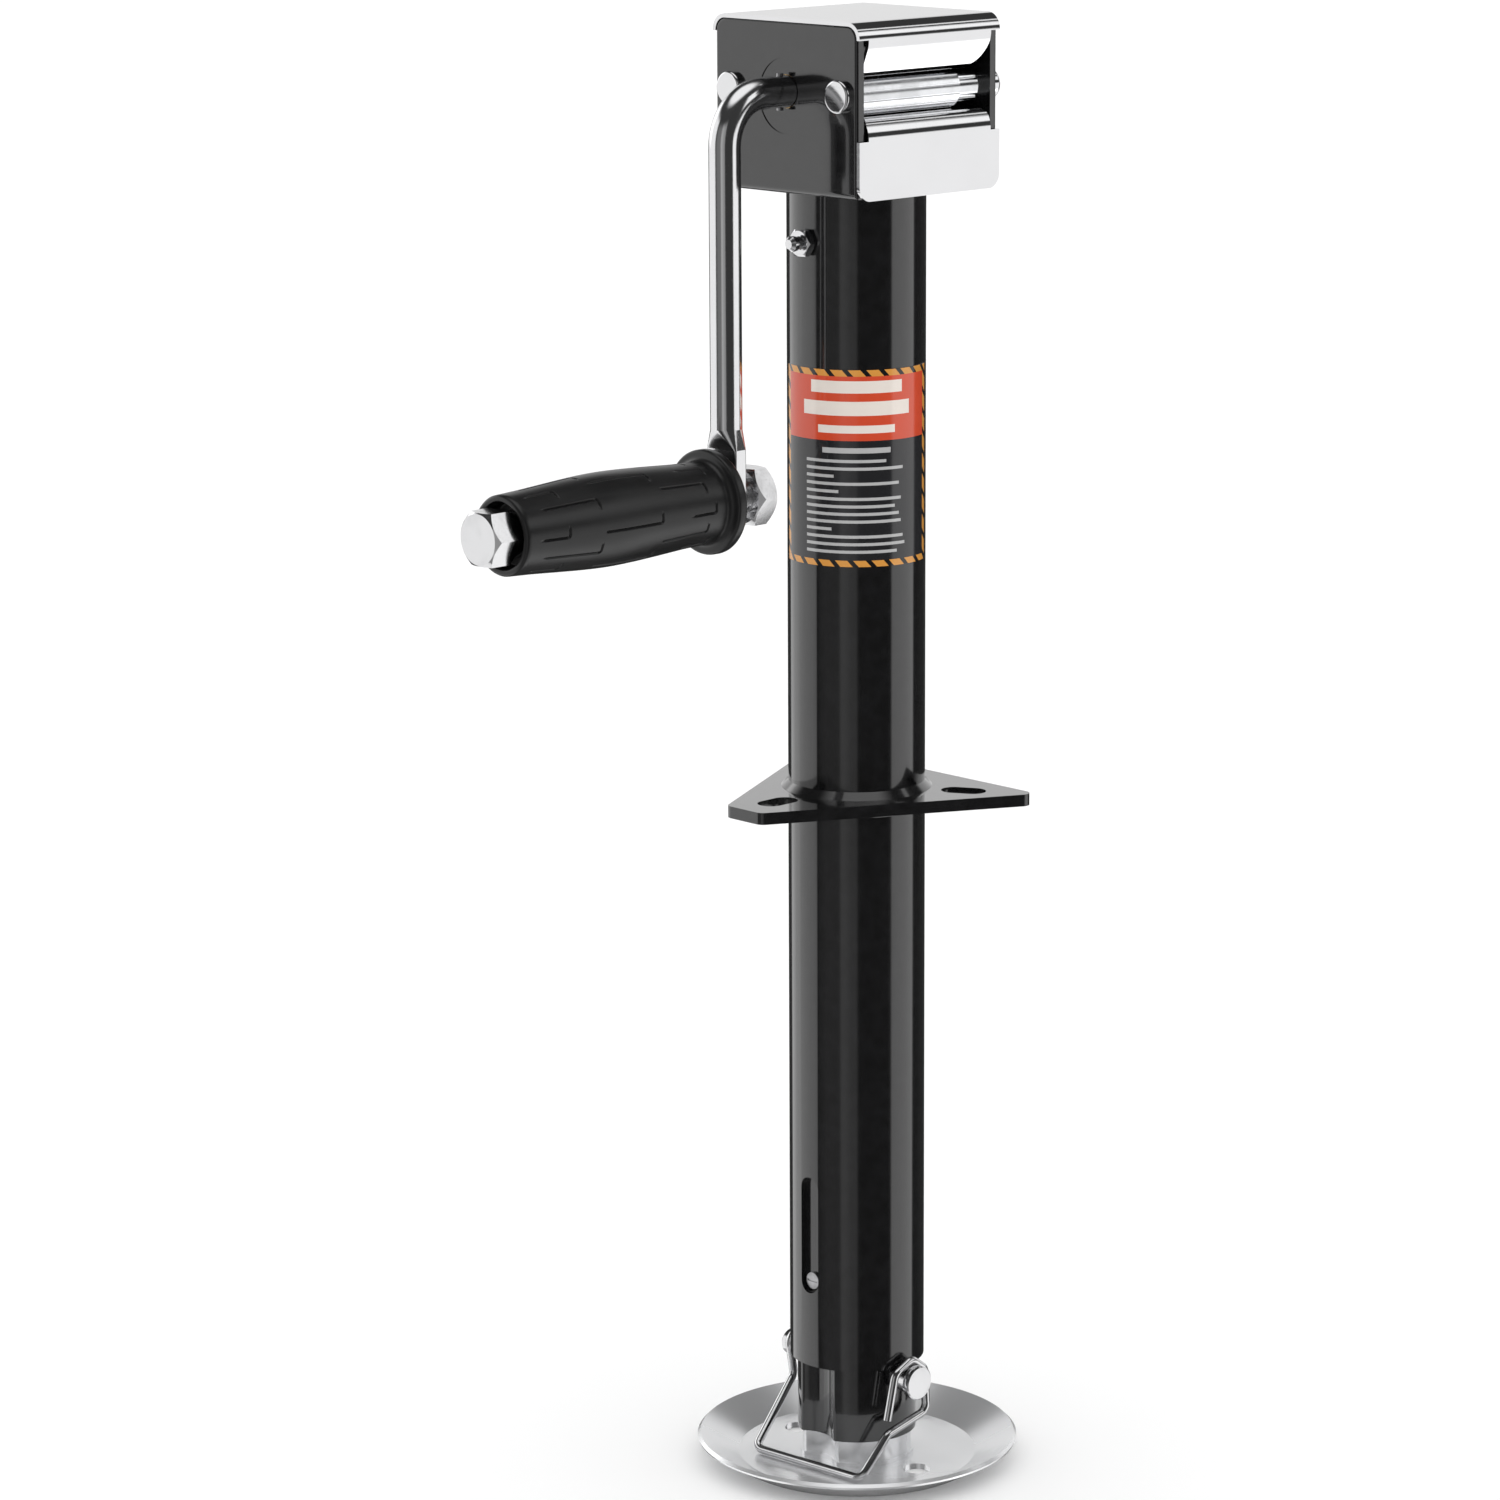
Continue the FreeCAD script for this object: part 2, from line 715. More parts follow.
# =================================================== cross rivets and sleeves
# Domed rivets tie the two walls; a ribbed sleeve on each keeps them apart.
def domed_rivet(label, y):
    """A shank across the head: a low head on the left, a button on the right."""
    wall = size("wall_half_x")
    shank = size("rivet_radius") - size("fit_gap")
    parts = [Part.makeCylinder(shank, 2 * wall, Vector(-wall, 0, 0), Vector(1, 0, 0))]
    for side, height, bend in ((-1, size("left_head_height"), size("left_head_edge")),
                               (1, size("right_head_height"), size("right_head_edge"))):
        head = Part.makeCylinder(size("rivet_head_radius"), height,
                                 Vector(side * wall, 0, 0), Vector(side, 0, 0))
        rims = [edge for edge in head.Edges
                if abs(edge.CenterOfMass.x - side * (wall + height)) < 0.01]
        parts.append(head.makeFillet(bend, rims))
    shaped(label, parts[0].fuse(parts[1:]).removeSplitter(), 0, y, size("rivet_z"))


def round_about(body, feature, sketch, count):
    """Repeat a cut evenly round the axis that the sketch stands square to."""
    pattern = body.newObject("PartDesign::PolarPattern", body.Name + "_pattern")
    pattern.Originals = [feature]
    pattern.Axis = (sketch, ["N_Axis"])
    pattern.Angle = 360
    bind(pattern, Occurrences=count)
    body.Tip = pattern
    doc.recompute()
    return pattern


def ribbed_sleeve(label, y):
    body = turned(label, [
        (f"-({INNER_X})", "rivet_radius"),
        (INNER_X, "rivet_radius"),
        (INNER_X, "sleeve_neck_radius"),
        ("sleeve_hub_end", "sleeve_neck_radius"),
        ("sleeve_hub_end", "sleeve_hub_radius"),
        ("sleeve_end + 1.2", "sleeve_hub_radius"),
        ("sleeve_end", "sleeve_radius"),
        (f"-({INNER_X})", "sleeve_radius"),
    ], "H_Axis")
    groove = circles(body, "YZ_Plane", [("0", "sleeve_radius + 0.3", "rib_groove")])
    scored = extrude(body, groove, "2*wall_half_x", midplane=True, cut=True)
    round_about(body, scored, groove, "sleeve_ribs")
    hollow = circles(body, "YZ_Plane", [
        ("0", "sleeve_hub_radius + lobe_groove/2", "lobe_groove"),
    ])
    bind(hollow, AttachmentOffset__Base__z="sleeve_end + 1.2")
    lobed = extrude(body, hollow, "wall_half_x - sleeve_end", cut=True, backwards=True)
    round_about(body, lobed, hollow, "hub_lobes")
    return place(body, y=y, z="rivet_z")


domed_rivet("front_cross_rivet", -size("rivet_y"))
domed_rivet("rear_cross_rivet", size("rivet_y"))
ribbed_sleeve("front_spacer_sleeve", "-rivet_y")
ribbed_sleeve("rear_spacer_sleeve", "rivet_y")

# ===================================================================== crank
# A round rod: along -X out of the head, a round bend, down the arm, and a
# flattened paddle that takes the grip bolt.
rod_radius = size("rod_radius")
arm_x = -size("arm_x")
crank_z = size("crank_z")
bend = size("crank_bend")
turn_start = Vector(arm_x + bend, 0, crank_z)
turn_end = Vector(arm_x, 0, crank_z - bend)
turn_centre = Vector(arm_x + bend, 0, crank_z - bend)
turn_middle = turn_centre + Vector(-bend, 0, bend) * math.sqrt(0.5)
paddle_top = size("paddle_top")
neck = size("neck_length")
rod_path = Part.Wire([
    Part.LineSegment(Vector(size("rod_end"), 0, crank_z), turn_start).toShape(),
    Part.Arc(turn_start, turn_middle, turn_end).toShape(),
    Part.LineSegment(turn_end, Vector(arm_x, 0, paddle_top + neck)).toShape(),
])
rod_section = Part.Wire(Part.makeCircle(rod_radius, Vector(size("rod_end"), 0, crank_z),
                                        Vector(1, 0, 0)))
rod_solid = rod_path.makePipeShell([rod_section], True, False)


def rounded_rectangle(half_x, half_y, corner, z):
    """A closed outline with round corners, level, about the arm's axis."""
    block = Part.makeBox(2 * half_x, 2 * half_y, 1, Vector(arm_x - half_x, -half_y, z))
    upright = [edge for edge in block.Edges if runs_along(edge, (0, 0, 1))]
    rounded = block.makeFillet(corner, upright)
    level = min(rounded.Faces, key=lambda face: face.CenterOfMass.z)
    return level.OuterWire


half_sheet = size("paddle_sheet") / 2
half_paddle = size("paddle_width") / 2
paddle_low = size("grip_z") - half_paddle - 5
paddle = Part.makeBox(2 * half_sheet, 2 * half_paddle, paddle_top - paddle_low,
                      Vector(arm_x - half_sheet, -half_paddle, paddle_low))
foot_edges = [edge for edge in paddle.Edges
              if runs_along(edge, (1, 0, 0)) and abs(edge.CenterOfMass.z - paddle_low) < 0.01]
paddle = paddle.makeFillet(half_paddle * 0.7, foot_edges)
side_edges = [edge for edge in paddle.Edges
              if runs_along(edge, (0, 0, 1)) and edge.Length > half_paddle]
paddle = paddle.makeFillet(1, side_edges)
neck_piece = Part.makeLoft([
    rounded_rectangle(half_sheet, half_paddle, 1, paddle_top - 0.2),
    rounded_rectangle(rod_radius * 0.98, rod_radius * 0.98, rod_radius * 0.97,
                      paddle_top + neck + 0.2),
], True)
eye = Part.makeCylinder(size("bolt_radius"), 20, Vector(arm_x - 10, 0, size("grip_z")),
                        Vector(1, 0, 0))
pin_hole = Part.makeCylinder(size("small_pin_radius"), 20,
                             Vector(-size("retaining_pin_x"), 0, crank_z - 10))
pinion_pin_x = -(size("pinion_hub_end") - 4.2)
cross_hole = Part.makeCylinder(size("cross_pin_radius"), 40,
                               Vector(pinion_pin_x, 0, crank_z - 20))
crank_shape = rod_solid.fuse([paddle, neck_piece]).cut([eye, pin_hole, cross_hole])
shaped("crank_rod", crank_shape.removeSplitter())

node(cylinder("small_pin_radius", "2*(rod_radius + pin_stand)", "-retaining_pin_x", "0",
              "crank_z - rod_radius - pin_stand"), "crank_retaining_pin")

# ====================================================================== grip
# The barrel-shaped rubber grip on a plain sleeve, which turns on the bolt.
grip_out = -size("grip_outer_end")
grip_in = -size("grip_inner_end")
grip_z = size("grip_z")
cup = size("grip_cup_radius")
cup_floor = grip_out + size("grip_cup_depth")
sleeve_out = size("sleeve_outer")
rim_radius = size("grip_rim_radius")
belly_radius = size("grip_belly_radius")
neck_radius = size("grip_neck_radius")
flange_radius = size("grip_flange_radius")
flange_low = grip_in - size("grip_flange_length")
rim_turn = 1.2
step_turn = 2.4
swell = belly_radius - rim_radius
waist = belly_radius - neck_radius
barrel_length = flange_low - step_turn - grip_out - rim_turn
barrel_start = Vector(grip_out + rim_turn, 0, rim_radius + rim_turn / 2)
barrel = [
    barrel_start,
    barrel_start + Vector(0.25 * barrel_length, 0, 0.65 * swell - rim_turn / 2),
    Vector(barrel_start.x + 0.48 * barrel_length, 0, belly_radius),
    Vector(barrel_start.x + 0.70 * barrel_length, 0, belly_radius - 0.32 * waist),
    Vector(barrel_start.x + 0.88 * barrel_length, 0, belly_radius - 0.86 * waist),
    Vector(flange_low - step_turn, 0, neck_radius),
]
side = Part.BSplineCurve()
side.interpolate(barrel)
diagonal = math.sqrt(0.5)
step_middle = Vector(flange_low - step_turn * (1 - diagonal), 0,
                     neck_radius + step_turn * (1 - diagonal))
step_end = Vector(flange_low, 0, neck_radius + step_turn)
edge_start = Vector(flange_low, 0, flange_radius - rim_turn)
edge_middle = Vector(flange_low + rim_turn * (1 - diagonal), 0,
                     flange_radius - rim_turn * (1 - diagonal))
edge_end = Vector(flange_low + rim_turn, 0, flange_radius)
far_start = Vector(grip_in - rim_turn, 0, flange_radius)
far_middle = Vector(grip_in - rim_turn * (1 - diagonal), 0,
                    flange_radius - rim_turn * (1 - diagonal))
far_end = Vector(grip_in, 0, flange_radius - rim_turn)
rim_start = Vector(grip_out, 0, rim_radius - rim_turn)
rim_middle = Vector(grip_out + rim_turn * (1 - diagonal), 0, rim_radius)
grip_half = [
    side.toShape(),
    Part.Arc(barrel[-1], step_middle, step_end).toShape(),
    Part.LineSegment(step_end, edge_start).toShape(),
    Part.Arc(edge_start, edge_middle, edge_end).toShape(),
    Part.LineSegment(edge_end, far_start).toShape(),
    Part.Arc(far_start, far_middle, far_end).toShape(),
    Part.LineSegment(far_end, Vector(grip_in, 0, sleeve_out)).toShape(),
    Part.LineSegment(Vector(grip_in, 0, sleeve_out),
                     Vector(cup_floor, 0, sleeve_out)).toShape(),
    Part.LineSegment(Vector(cup_floor, 0, sleeve_out), Vector(cup_floor, 0, cup)).toShape(),
    Part.LineSegment(Vector(cup_floor, 0, cup), Vector(grip_out, 0, cup)).toShape(),
    Part.LineSegment(Vector(grip_out, 0, cup), rim_start).toShape(),
    Part.Arc(rim_start, rim_middle, barrel[0]).toShape(),
]
grip_face = Part.Face(Part.Wire(Part.__sortEdges__(grip_half)))
grip_shape = grip_face.revolve(Vector(0, 0, 0), Vector(1, 0, 0), 360)
shaped("hand_grip", grip_shape, 0, 0, grip_z)

grip_sleeve = turned("grip_sleeve", [
    ("-grip_outer_end + grip_cup_depth", "bolt_radius + fit_gap"),
    ("-grip_inner_end", "bolt_radius + fit_gap"),
    ("-grip_inner_end", "sleeve_outer"),
    ("-grip_outer_end + grip_cup_depth", "sleeve_outer"),
], "H_Axis")
place(grip_sleeve, z="grip_z")

# The grip bolt: hexagon head with both rims chamfered, a round collar that
# stands in the cup of the grip, and a shank that passes through the paddle.


def hexagon(across_flats, x_low, x_high, both_rims=True):
    """A hexagonal prism along X with its corners turned down to a cone."""
    corner = across_flats / math.sqrt(3)
    points = []
    for step in range(7):
        angle = math.radians(60 * step + 30)
        points.append(Vector(x_low, corner * math.sin(angle), corner * math.cos(angle)))
    prism = Part.Face(Part.makePolygon(points)).extrude(Vector(x_high - x_low, 0, 0))
    drop = (corner - across_flats / 2) * 1.15
    rim = across_flats / 2 * 0.96
    profile = [Vector(x_low, 0, 0), Vector(x_low, 0, rim)]
    profile.append(Vector(x_low + drop, 0, corner + 0.05))
    if both_rims:
        profile.append(Vector(x_high - drop, 0, corner + 0.05))
        profile.append(Vector(x_high, 0, rim))
    else:
        profile.append(Vector(x_high, 0, corner + 0.05))
    profile.append(Vector(x_high, 0, 0))
    profile.append(profile[0])
    blank = Part.Face(Part.makePolygon(profile)).revolve(Vector(0, 0, 0), Vector(1, 0, 0), 360)
    return prism.common(blank)


head_end = -size("bolt_head_end")
head_back = head_end + size("bolt_head_length")
bolt_radius = size("bolt_radius")
bolt_tip = -size("bolt_tip")
seat_x = cup_floor - size("face_gap")
bolt_parts = [
    Part.makeCylinder(size("bolt_collar_radius"), seat_x - head_back + 0.5,
                      Vector(head_back - 0.5, 0, 0), Vector(1, 0, 0)),
    Part.makeCylinder(bolt_radius, bolt_tip - head_back, Vector(head_back, 0, 0),
                      Vector(1, 0, 0)),
]
bolt_shape = hexagon(size("head_flats"), head_end, head_back).fuse(bolt_parts).removeSplitter()
shaped("grip_bolt", bolt_shape, 0, 0, grip_z)

nut_low = -size("nut_x")
nut_high = nut_low + size("nut_length")
nut_bore = Part.makeCylinder(bolt_radius, 40, Vector(nut_low - 5, 0, 0), Vector(1, 0, 0))
nut_shape = hexagon(size("nut_flats"), nut_low, nut_high).cut(nut_bore)
shaped("grip_nut", nut_shape, 0, 0, grip_z)

washer_face = "grip_inner_end - face_gap - arm_x - paddle_sheet/2"
grip_washer = turned("grip_washer", [
    ("0", "bolt_radius"),
    (washer_face, "bolt_radius"),
    (washer_face, "12"),
    ("0", "12"),
], "H_Axis")
place(grip_washer, x="-grip_inner_end + face_gap", z="grip_z")

# ================================================================ bevel gears
# Straight bevel teeth whose flanks all run to the crossing of the two axes.


def bevel_gear(teeth, mate_teeth, hub_radius, hub_reach, bore, first_angle):
    """A bevel gear about Z, teeth upward, with the crossing point at z = 0."""
    module = size("tooth_module")
    pitch = teeth * module / 2
    mate = mate_teeth * module / 2
    slant = math.hypot(pitch, mate)
    shrink = 1 - size("face_width") / slant
    addendum = 0.7 * module
    dedendum = 1.1 * module
    out_r, out_z = mate / slant, pitch / slant
    thickness = 0.43 * math.pi * module
    lean = math.tan(math.radians(20))

    def level(rise, scale):
        return scale * (pitch + rise * out_r), scale * (-mate + rise * out_z)

    root_big = level(-dedendum, 1)
    root_small = level(-dedendum, shrink)
    depth = level(-dedendum - 2.4, 1)
    profile = [
        Vector(bore, 0, root_small[1]), Vector(root_small[0], 0, root_small[1]),
        Vector(root_big[0], 0, root_big[1]), Vector(depth[0], 0, depth[1]),
        Vector(hub_radius, 0, depth[1]), Vector(hub_radius, 0, -hub_reach),
        Vector(bore, 0, -hub_reach),
    ]
    profile.append(profile[0])
    blank = Part.Face(Part.makePolygon(profile)).revolve(Vector(0, 0, 0), Vector(0, 0, 1), 360)
    solids = []
    sections = []
    for scale in (1, shrink * 1.001):
        corners = []
        for rise, sign in ((addendum, 1), (addendum, -1), (-dedendum - 0.5, -1),
                           (-dedendum - 0.5, 1)):
            radius, height = level(rise, scale)
            half = scale * (thickness / 2 - rise * lean) * sign
            corners.append(Vector(radius, half, height))
        corners.append(corners[0])
        sections.append(Part.makePolygon(corners))
    tooth = Part.makeLoft(sections, True, True)
    for number in range(teeth):
        turned_tooth = tooth.copy()
        turned_tooth.rotate(Vector(0, 0, 0), Vector(0, 0, 1),
                            first_angle + number * 360 / teeth)
        solids.append(turned_tooth)
    return blank.fuse(solids)


pinion_teeth = int(size("pinion_teeth"))
gear_teeth = int(size("gear_teeth"))
pin_radius = size("cross_pin_radius")

pinion = bevel_gear(pinion_teeth, gear_teeth, size("pinion_hub_radius"),
                    size("pinion_hub_end"), rod_radius, 0)
pinion.rotate(Vector(0, 0, 0), Vector(0, 1, 0), 90)
pinion_hole = Part.makeCylinder(pin_radius, 60, Vector(pinion_pin_x, 0, -30))
shaped("bevel_pinion", pinion.cut(pinion_hole), 0, 0, crank_z)
node(cylinder("cross_pin_radius", "2*pinion_hub_radius", "-(pinion_hub_end - 4.2)", "0",
              "crank_z - pinion_hub_radius"), "pinion_pin")

floor_top = worked("tube_top + wall_sheet")
hub_low = floor_top + size("washer_sheet") + size("face_gap")
gear = bevel_gear(gear_teeth, pinion_teeth, size("gear_hub_radius"),
                  crank_z - hub_low, size("journal_radius"), 180 + 180 / gear_teeth)
gear_pin_z = hub_low + 4
gear_hole = Part.makeCylinder(pin_radius, 60, Vector(0, -30, gear_pin_z - crank_z),
                              Vector(0, 1, 0))
shaped("bevel_gear", gear.cut(gear_hole), 0, 0, crank_z)
node(cylinder("cross_pin_radius", "2*gear_hub_radius", "0", "-gear_hub_radius",
              "tube_top + wall_sheet + washer_sheet + face_gap + 4", *ALONG_Y), "gear_pin")

# ================================================================ lead screw
# Journal through the housing floor, thrust collar under the bearing, and the
# threaded length down into the ram.  The thread is drawn as a plain cylinder.
RACE_TOP = "tube_top"
LOWER_RACE = "tube_top - 2*race_sheet - ball_diameter - fit_gap*2"
COLLAR_LOW = f"{LOWER_RACE} - collar_sheet"
screw = turned("lead_screw", [
    ("0", "screw_bottom"),
    ("screw_radius", "screw_bottom"),
    ("screw_radius", COLLAR_LOW),
    ("collar_radius", COLLAR_LOW),
    ("collar_radius", LOWER_RACE),
    ("journal_radius", LOWER_RACE),
    ("journal_radius", "screw_top"),
    ("0", "screw_top"),
])
screw_hole = circles(screw, "XZ_Plane", [
    ("0", "tube_top + wall_sheet + washer_sheet + face_gap + 4", "cross_pin_radius"),
    ("0", "screw_bottom + end_washer_sheet/2", "cross_pin_radius"),
])
extrude(screw, screw_hole, "60", midplane=True, cut=True)


def ring(label, inner, outer, low, high, hole=None):
    """A plain ring about Z, with an optional cross hole at one height."""
    body = turned(label, [(inner, low), (outer, low), (outer, high), (inner, high)])
    if hole is not None:
        drilled = circles(body, "XZ_Plane", [("0", hole, "cross_pin_radius")])
        extrude(body, drilled, "80", midplane=True, cut=True)
    return body


ring("bearing_upper_race", "journal_radius + 0.5", "race_radius",
     f"{RACE_TOP} - race_sheet", RACE_TOP)
ring("bearing_lower_race", "journal_radius", "race_radius",
     LOWER_RACE, f"{LOWER_RACE} + race_sheet")
BALL_Z = f"{LOWER_RACE} + race_sheet + ball_diameter/2 + fit_gap"
cage = ring("bearing_cage", "journal_radius + 0.5", "race_radius - 1",
            f"{BALL_Z} - 1.2", f"{BALL_Z} + 1.2")
balls = []
pockets = []
for number in range(int(size("ball_count"))):
    angle = math.radians(360 / size("ball_count") * number)
    centre = Vector(size("ball_circle") * math.cos(angle),
                    size("ball_circle") * math.sin(angle), worked(BALL_Z))
    balls.append(Part.makeSphere(size("ball_diameter") / 2, centre))
    pocket_centre = (f"ball_circle*cos({math.degrees(angle)})",
                     f"ball_circle*sin({math.degrees(angle)})")
    pockets.append((*pocket_centre, "ball_diameter/2 + fit_gap"))
shaped("bearing_balls", Part.makeCompound(balls))
extrude(cage, circles(cage, "XY_Plane", pockets), "2000", midplane=True, cut=True)

bush_outer = "journal_radius + bush_wall"
turned("screw_bushing", [
    ("journal_radius + fit_gap", "tube_top"),
    (bush_outer, "tube_top"),
    (bush_outer, "tube_top + wall_sheet"),
    ("journal_radius + fit_gap", "tube_top + wall_sheet"),
])
ring("gear_thrust_washer", "journal_radius + 0.5", "gear_hub_radius + 4",
     "tube_top + wall_sheet", "tube_top + wall_sheet + washer_sheet")
ring("screw_end_washer", "screw_radius", "end_washer_radius", "screw_bottom",
     "screw_bottom + end_washer_sheet", "screw_bottom + end_washer_sheet/2")
node(cylinder("cross_pin_radius", "2*end_washer_radius", "0", "-end_washer_radius",
              "screw_bottom + end_washer_sheet/2", *ALONG_Y), "screw_end_pin")


def rod_bushing(label, side):
    """A flanged bushing for the crank rod; its flange bears on the wall."""
    body = turned(label, [
        ("-wall_half_x + bush_skin", "rod_radius + fit_gap"),
        (f"-({INNER_X}) + bush_flange", "rod_radius + fit_gap"),
        (f"-({INNER_X}) + bush_flange", "bush_flange_radius"),
        (f"-({INNER_X})", "bush_flange_radius"),
        (f"-({INNER_X})", "rod_radius + bush_wall"),
        ("-wall_half_x + bush_skin", "rod_radius + bush_wall"),
    ], "H_Axis")
    if side > 0:
        body.Placement.Rotation = Rotation(Vector(0, 0, 1), 180)
    return place(body, z="crank_z")


rod_bushing("left_rod_bushing", -1)
rod_bushing("right_rod_bushing", 1)

# ================================================= ram, lead nut and foot stub
# All three share one fluted section: a circle with a round hollow on -X.


def fluted(radius, inset, low, high):
    """A fluted bar; inset moves the hollow inward with the bar's skin."""
    outer = worked("tube_radius - tube_wall - slide_gap")
    reach = size("flute_radius") + inset
    centre = Vector(-(outer - size("flute_depth") + size("flute_radius")), 0, low)
    bar = Part.makeCylinder(radius, high - low, Vector(0, 0, low))
    hollow = Part.makeCylinder(reach, high - low, centre)
    shape = bar.cut(hollow)
    corners = []
    for edge in shape.Edges:
        middle = edge.CenterOfMass
        if runs_along(edge, (0, 0, 1)) and abs(middle.y) > 1:
            corners.append(edge)
    return shape.makeFillet(max(0.4, size("flute_corner") - inset * 0.5), corners)


RAM_RADIUS = worked("tube_radius - tube_wall - slide_gap")
ram_low = size("ram_bottom")
ram_high = ram_low + size("ram_length")
wall = size("ram_wall")
pin_z = size("pin_z")
lock_hole = Part.makeCylinder(size("pin_radius") + size("fit_gap"), 80,
                              Vector(0, -40, pin_z), Vector(0, 1, 0))
nut_high_z = ram_high - size("nut_top_inset")
nut_low_z = nut_high_z - size("nut_height")
nut_pin_z = (nut_high_z + nut_low_z) / 2
nut_pin_holes = Part.makeCylinder(size("cross_pin_radius") + 1, 80,
                                  Vector(0, -40, nut_pin_z), Vector(0, 1, 0))
ram_shape = fluted(RAM_RADIUS, 0, ram_low, ram_high)
ram_shape = ram_shape.cut(fluted(RAM_RADIUS - wall, wall, ram_low - 1, ram_high + 1))
shaped("ram_tube", ram_shape.cut([lock_hole, nut_pin_holes]))

nut_shape = fluted(RAM_RADIUS - wall, wall, nut_low_z, nut_high_z)
nut_thread = Part.makeCylinder(size("screw_radius") + size("fit_gap"), 60,
                               Vector(0, 0, nut_low_z - 5))
shaped("lead_nut", nut_shape.cut([nut_thread, nut_pin_holes]))
nut_pins = []
pin_inner = size("screw_radius") + 2
for side_sign in (-1, 1):
    nut_pins.append(Part.makeCylinder(
        size("cross_pin_radius") + 1, RAM_RADIUS - 0.4 - pin_inner,
        Vector(0, side_sign * pin_inner, nut_pin_z), Vector(0, side_sign, 0)))
shaped("nut_pins", Part.makeCompound(nut_pins))

stub_inset = wall + size("stub_gap")
stub_radius = RAM_RADIUS - stub_inset
dish_sheet = size("foot_sheet")
stub_high = size("stub_top")
stub = fluted(stub_radius, stub_inset, dish_sheet, stub_high)
stub = stub.cut(fluted(stub_radius - size("stub_wall"), stub_inset + size("stub_wall"),
                       dish_sheet - 1, stub_high + 1))
weld_low = fluted(stub_radius + 1.2, stub_inset - 1.2, dish_sheet, dish_sheet + 1.6)
weld_low = weld_low.cut(fluted(stub_radius - size("stub_wall"),
                               stub_inset + size("stub_wall"), 0, dish_sheet + 3))
shaped("foot_stub", stub.fuse(weld_low).removeSplitter().cut(lock_hole))

# The dish: flat floor, sloping side and a rounded rim, drilled for drainage.
foot = turned("foot_dish", [
    ("0", "0"),
    ("foot_floor_radius + 2.6", "0"),
    ("foot_rim_radius - 0.4", "foot_height - 2.2"),
    ("foot_rim_radius", "foot_height - 1.2"),
    ("foot_rim_radius - 1.2", "foot_height"),
    ("foot_floor_radius + 0.8", "foot_sheet"),
    ("0", "foot_sheet"),
])
drain = circles(foot, "XY_Plane", [("0", "-drain_circle", "drain_radius")])
drained = extrude(foot, drain, "4*foot_sheet", midplane=True, cut=True)
round_about(foot, drained, drain, "drain_count")

# ========================================================= lock pin and bail
# The pin has a disc head in front; the bail wire is wound once over it and
# swings about it, from the dish up to the outer tube.
head_front = -size("pin_head_front")
pin_profile = [
    Vector(0, head_front, 0),
    Vector(size("pin_head_radius") - 0.5, head_front, 0),
    Vector(size("pin_head_radius"), head_front + 0.5, 0),
    Vector(size("pin_head_radius"), head_front + size("pin_head_sheet"), 0),
    Vector(size("pin_radius"), head_front + size("pin_head_sheet"), 0),
    Vector(size("pin_radius"), size("pin_tip") - 1.5, 0),
    Vector(size("pin_radius") - 1.5, size("pin_tip"), 0),
    Vector(0, size("pin_tip"), 0),
]
pin_profile.append(pin_profile[0])
pin_shape = Part.Face(Part.makePolygon(pin_profile)).revolve(
    Vector(0, 0, 0), Vector(0, 1, 0), 360)
shaped("lock_pin", pin_shape, 0, 0, pin_z)


def wire_along(points, radius, bend_radius):
    """A round wire through the points with a round bend at each corner."""
    edges = []
    last = points[0]
    for index in range(1, len(points) - 1):
        before = (points[index] - points[index - 1])
        after = (points[index + 1] - points[index])
        room = min(before.Length, after.Length) * 0.48
        before.normalize()
        after.normalize()
        half = math.acos(max(-1, min(1, before.dot(after)))) / 2
        reach = min(bend_radius * math.tan(half), room)
        begin = points[index] - before * reach
        finish = points[index] + after * reach
        inward = (after - before).normalize()
        arc_radius = reach / math.tan(half)
        centre = points[index] + inward * (arc_radius / math.cos(half))
        middle = centre - inward * arc_radius
        if (begin - last).Length > 1e-4:
            edges.append(Part.LineSegment(last, begin).toShape())
        edges.append(Part.Arc(begin, middle, finish).toShape())
        last = finish
    edges.append(Part.LineSegment(last, points[-1]).toShape())
    spine = Part.Wire(edges)
    start_direction = (points[1] - points[0])
    section = Part.Wire(Part.makeCircle(radius, points[0], start_direction))
    return spine.makePipeShell([section], True, False)


wire = size("wire_radius")
coil = size("pin_radius") + wire + 0.02
coil_y = -size("coil_y")
dish_level = dish_sheet + wire + 0.3 - pin_z
over_pin = coil + 2.2
bail_points = [
    Vector(-14.4, coil_y, -14.2),
    Vector(-9.8, coil_y, 5),
    Vector(0, coil_y, over_pin),
    Vector(coil + 0.6, coil_y, coil * 0.5),
    Vector(coil + 1.8, coil_y, -15.4),
    Vector(-14.2, coil_y, -20.6),
    Vector(-29.6, coil_y + 0.6, dish_level),
    Vector(-35, 26.5, dish_level),
    Vector(-5.6, -coil_y + 0.5, -12),
    Vector(-coil - 1.2, -coil_y + 0.5, 4.6),
    Vector(0, -coil_y + 0.5, over_pin),
    Vector(coil, -coil_y + 0.5, 4.4),
]
shaped("bail_wire", wire_along(bail_points, wire, 4.2), 0, 0, pin_z)

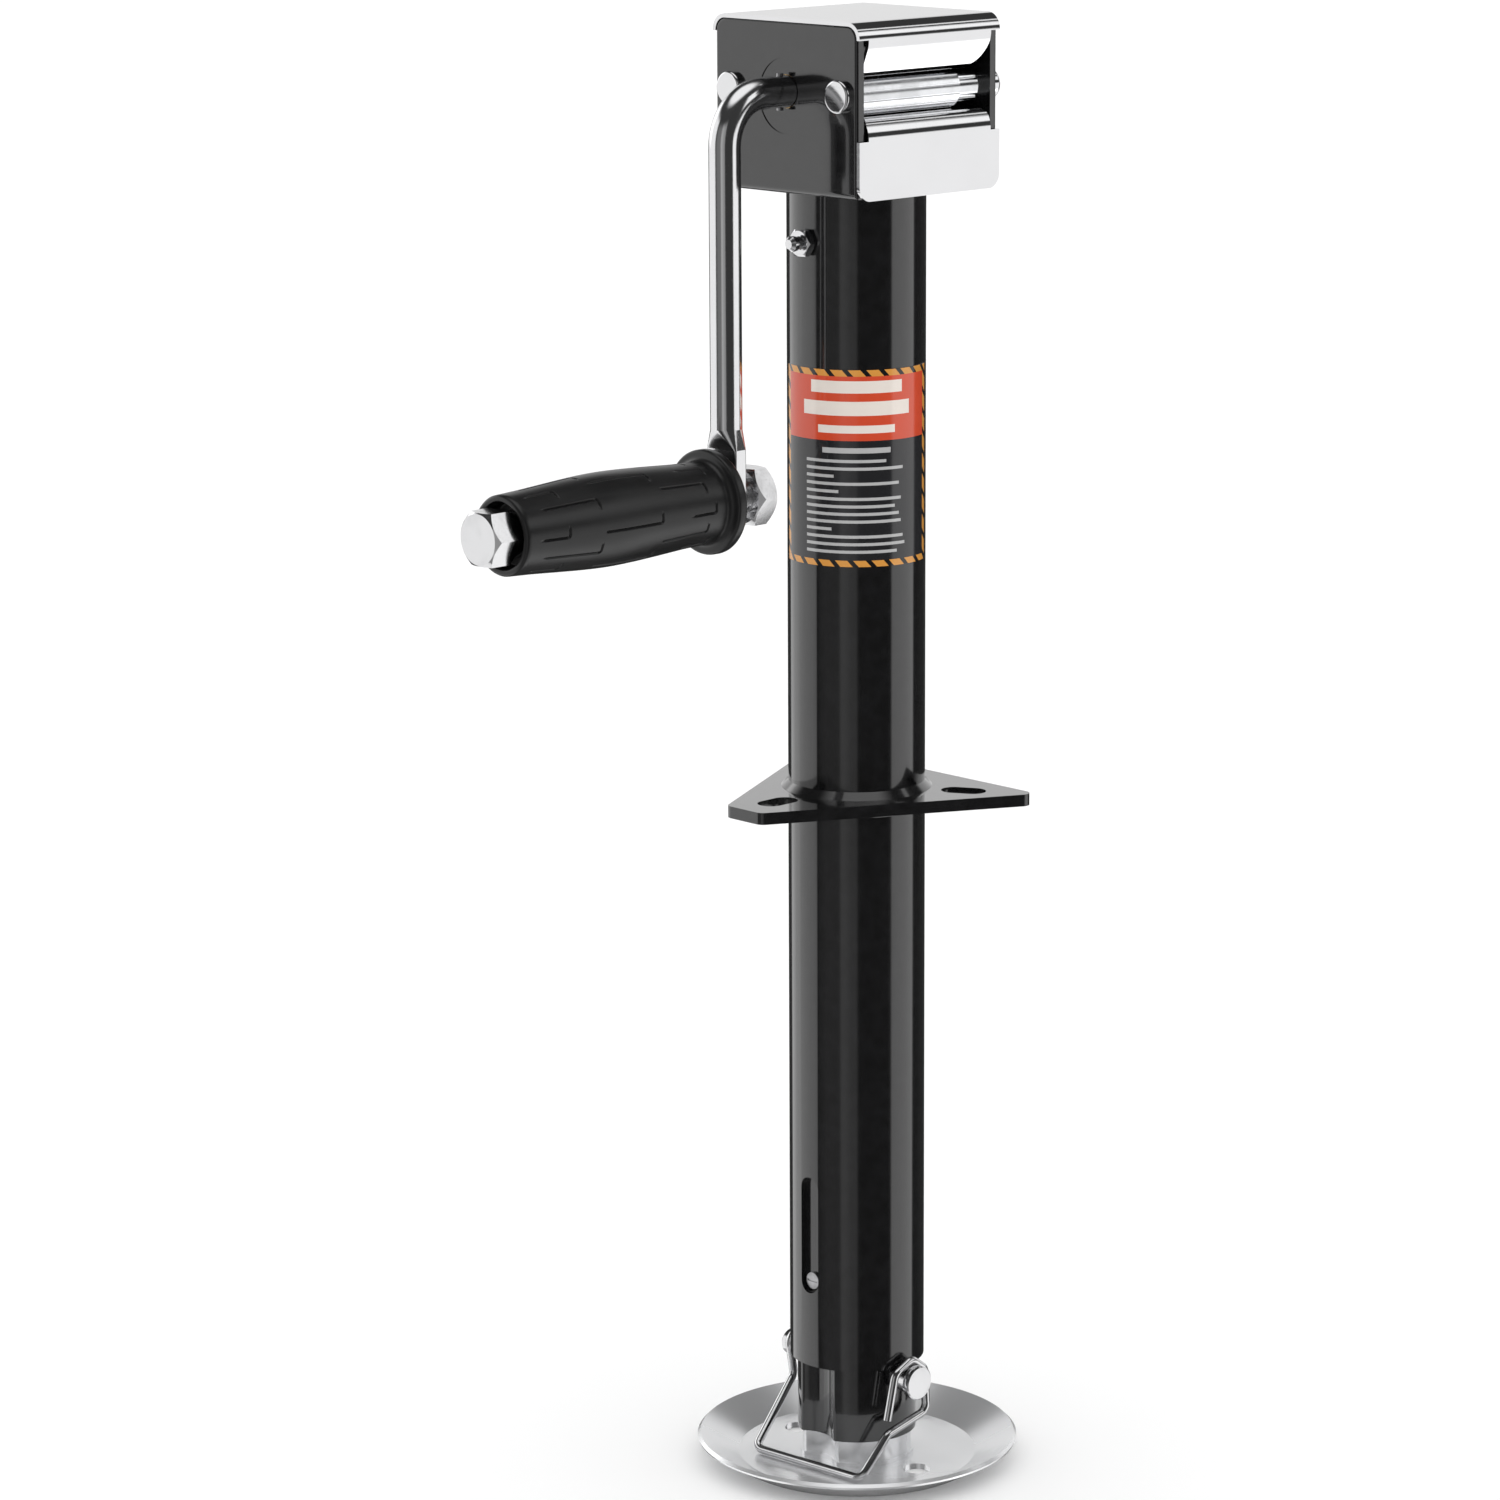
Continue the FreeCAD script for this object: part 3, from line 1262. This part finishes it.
# ======================================================= fittings on the tube
# The grease fitting screws in from the crank side above the decal.
fitting_x = -size("tube_radius")
hex_length = size("fitting_hex_length")
fitting_hex = hexagon(size("fitting_hex"), fitting_x - 0.6 - hex_length, fitting_x - 0.6)
stem = Part.makeCylinder(2.95, 6.2, Vector(fitting_x - 1.2, 0, 0), Vector(1, 0, 0))
collar = Part.makeCylinder(4.4, 0.9, Vector(fitting_x - 0.9, 0, 0), Vector(1, 0, 0))
nose_low = fitting_x - 0.6 - hex_length
nose_profile = [
    Vector(nose_low + 0.5, 0, 0), Vector(nose_low + 0.5, 0, 3.2),
    Vector(nose_low - 1.2, 0, 2.3), Vector(nose_low - 2.2, 0, 3.2),
    Vector(nose_low - 4.2, 0, 3.2), Vector(nose_low - 5.6, 0, 1.9),
    Vector(nose_low - 5.9, 0, 0),
]
nose_profile.append(nose_profile[0])
nose = Part.Face(Part.makePolygon(nose_profile)).revolve(
    Vector(0, 0, 0), Vector(1, 0, 0), 360)
tube_bar = Part.makeCylinder(size("tube_radius"), 40, Vector(0, 0, -20))
seat = collar.cut(tube_bar)
fitting = fitting_hex.fuse([stem, seat, nose]).removeSplitter()
shaped("grease_fitting", fitting, 0, 0, size("fitting_z"))

# The decal is a thin skin round the front-left of the tube.
decal_low = size("decal_bottom")
decal_high = size("decal_top")
half_angle = size("decal_half_angle")
decal_skin = Part.makeCylinder(size("tube_radius") + size("decal_sheet"),
                               decal_high - decal_low, Vector(0, 0, decal_low),
                               Vector(0, 0, 1), 2 * half_angle)
decal_skin.rotate(Vector(0, 0, 0), Vector(0, 0, 1), size("decal_facing") - half_angle)
decal_skin = decal_skin.cut(Part.makeCylinder(size("tube_radius"), 1000))
shaped("tube_decal", decal_skin)

# ============================================================ check and write
doc.recompute()
for feature in doc.Objects:
    if "Invalid" in feature.State or "Error" in feature.State:
        raise RuntimeError(f"{feature.Label} failed: {feature.State}")
for feature in NODES:
    shape = feature.Shape
    if shape.isNull() or not shape.isValid():
        raise RuntimeError(f"{feature.Label} has no valid shape")
    print(f"{feature.Label:22s} solids {len(shape.Solids):2d} volume {shape.Volume:10.1f}")
    shape.exportStep(f"parts/{feature.Label}.step")
